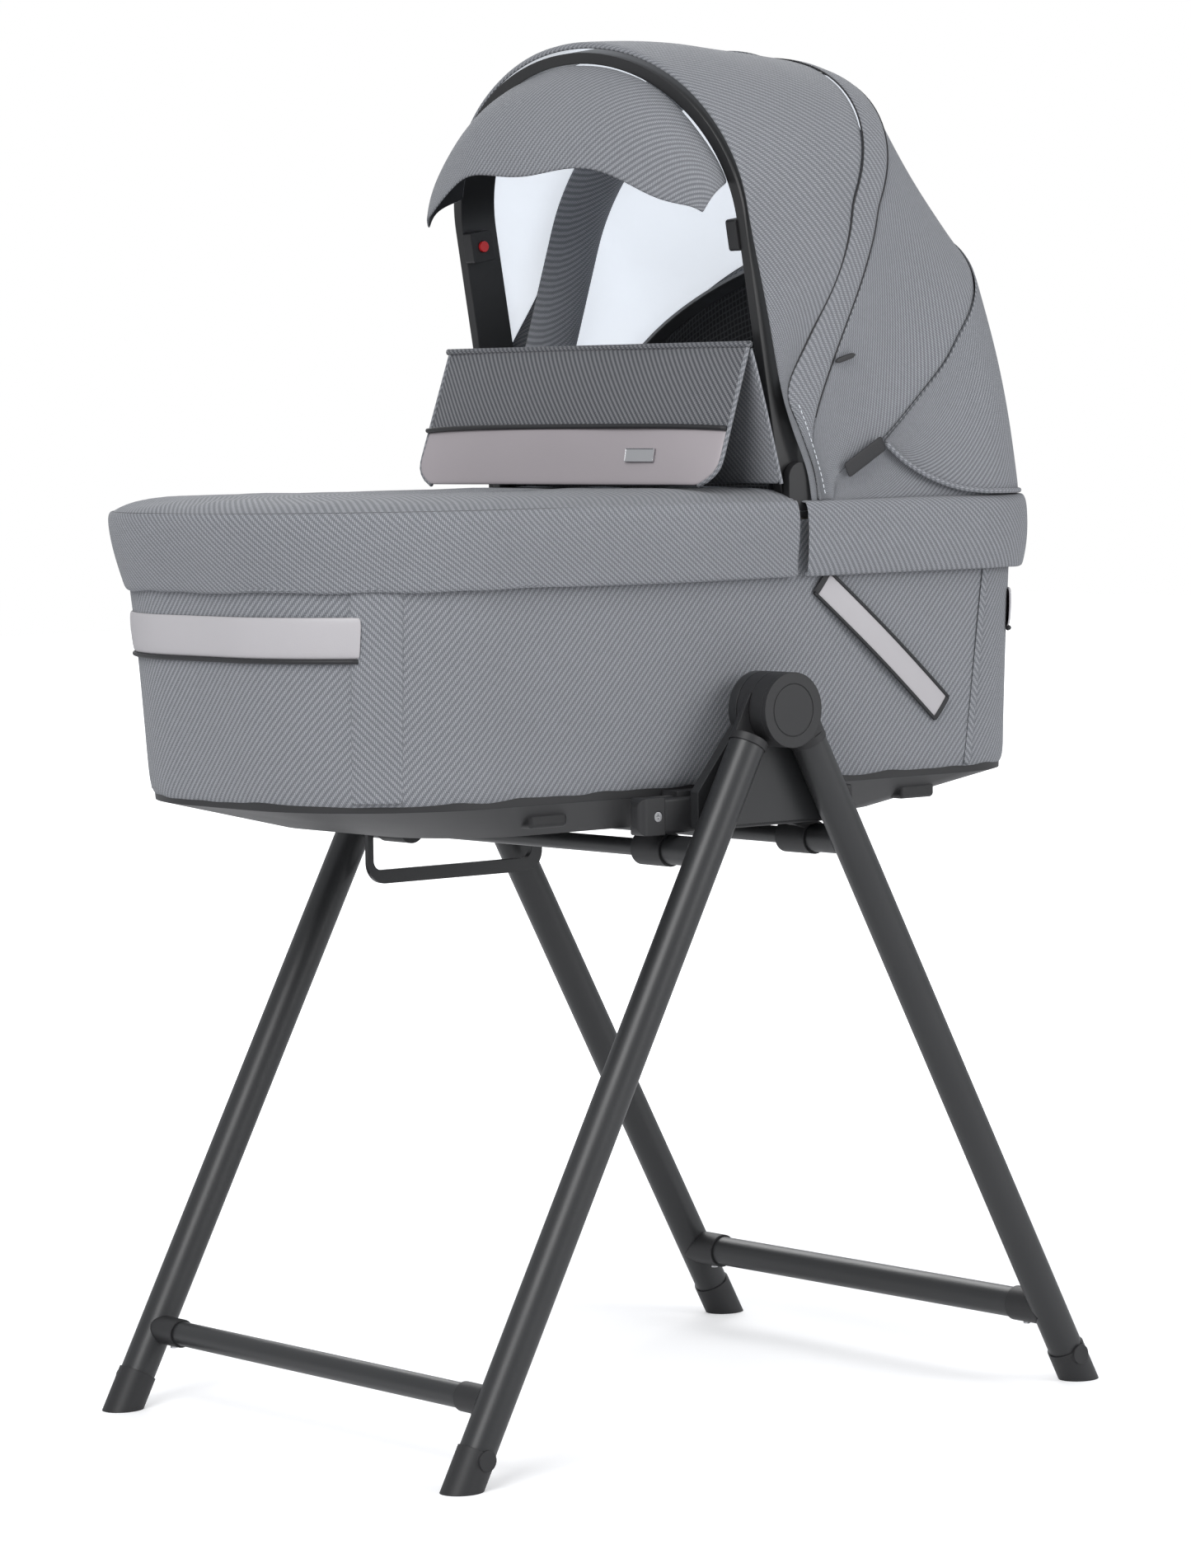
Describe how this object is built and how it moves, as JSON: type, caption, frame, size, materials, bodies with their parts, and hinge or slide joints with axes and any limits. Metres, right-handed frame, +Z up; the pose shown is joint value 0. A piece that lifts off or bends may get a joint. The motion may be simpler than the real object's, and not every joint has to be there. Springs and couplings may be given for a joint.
{
  "type": "bassinet",
  "caption": "Fabric carrycot with folding hood, foot cover and folded windscreen, carried on a black folding tube stand.",
  "frame": {"origin": "on the floor, under the middle of the whole bassinet", "axes": "+Z up, +X towards the head end, +Y towards the side with the spreader bail"},
  "size_m": [0.891, 0.5396, 1.2311],
  "materials": {
    "black_tube": "satin",
    "black_plastic": "matt moulded",
    "bow_plastic": "satin",
    "steel": "zinc plated",
    "grey_twill": "woven twill",
    "light_leather": "smooth grain",
    "white_lining": "plain cotton",
    "mattress_ticking": "quilted",
    "board": "plain sheet",
    "red_button": "gloss"
  },
  "bodies": {
    "rear_frame": {"rear_legs": "black_tube", "rear_leg_knuckles": "black_plastic", "rear_foot_caps": "black_plastic", "rear_lower_crossbar": "black_tube", "rear_lower_collars": "black_plastic", "rear_collar_screws": "steel", "rear_upper_crossbar": "black_tube", "rear_upper_sleeves": "black_plastic", "hub_pins": "steel", "hub_caps": "black_plastic", "hub_webs": "black_tube", "carrier_rails": "black_plastic", "rail_end_caps": "black_plastic", "rail_screws": "steel"},
    "front_frame": {"front_legs": "black_tube", "front_leg_knuckles": "black_plastic", "front_foot_caps": "black_plastic", "front_lower_crossbar": "black_tube", "front_lower_collars": "black_plastic", "front_collar_screws": "steel", "front_upper_crossbar": "black_tube", "front_upper_sleeves": "black_plastic"},
    "spreader": {"spreader_bail": "black_tube"},
    "carrycot": {"hull": "black_plastic", "adapter_studs": "black_plastic", "tub_fabric": "grey_twill", "side_wall_board": "board", "liner": "white_lining", "mattress_board": "board", "mattress": "mattress_ticking", "rim_trim": "black_plastic", "apron": "grey_twill", "head_skirt": "grey_twill", "foot_band": "light_leather", "side_handles": "light_leather", "hood_pivot_brackets": "black_plastic", "rear_bow": "bow_plastic", "hood_rear_panel": "grey_twill", "windscreen_rear_panel": "grey_twill"},
    "hood_mid": {"mid_bow": "bow_plastic", "hood_mid_panel": "grey_twill"},
    "hood_front": {"front_bow": "bow_plastic", "hood_front_panel": "grey_twill", "visor": "grey_twill", "clip_blocks": "black_plastic"},
    "windscreen": {"windscreen_front_panel": "grey_twill"},
    "clip_near": {"clip_button_near": "red_button"},
    "clip_far": {"clip_button_far": "red_button"}
  },
  "joints": [
    {"name": "frame_fold", "type": "hinge", "parent": "rear_frame", "child": "front_frame", "pos_m": [0.03, 0, 0.638], "axis": [0, -1, 0], "range_deg": [0, 54]},
    {"name": "spreader_swing", "type": "hinge", "parent": "rear_frame", "child": "spreader", "pos_m": [0.11461, 0.2095, 0.518], "axis": [0, -1, 0], "range_deg": [0, 60]},
    {"name": "carrycot_lift", "type": "slide", "parent": "rear_frame", "child": "carrycot", "axis": [0, 0, 1], "range_m": [0, 0.12]},
    {"name": "hood_mid_fold", "type": "hinge", "parent": "carrycot", "child": "hood_mid", "pos_m": [0.098, 0, 0.833], "axis": [0, 1, 0], "range_deg": [0, 26], "deforming": ["hood_mid_panel"]},
    {"name": "hood_front_fold", "type": "hinge", "parent": "hood_mid", "child": "hood_front", "pos_m": [0.098, 0, 0.833], "axis": [0, 1, 0], "range_deg": [0, 19.5], "deforming": ["hood_front_panel"]},
    {"name": "windscreen_unfold", "type": "hinge", "parent": "carrycot", "child": "windscreen", "pos_m": [0.035, 0, 0.956], "axis": [0, 1, 0], "range_deg": [0, 150]},
    {"name": "clip_button_near_press", "type": "slide", "parent": "hood_front", "child": "clip_near", "axis": [0, -1, 0], "range_m": [0, 0.002], "stiffness_N_per_m": 600},
    {"name": "clip_button_far_press", "type": "slide", "parent": "hood_front", "child": "clip_far", "axis": [0, 1, 0], "range_m": [0, 0.002], "stiffness_N_per_m": 600}
  ],
  "couplings": [
    {"joint": "hood_front_fold", "follows": "hood_mid_fold", "ratio": 0.75}
  ]
}
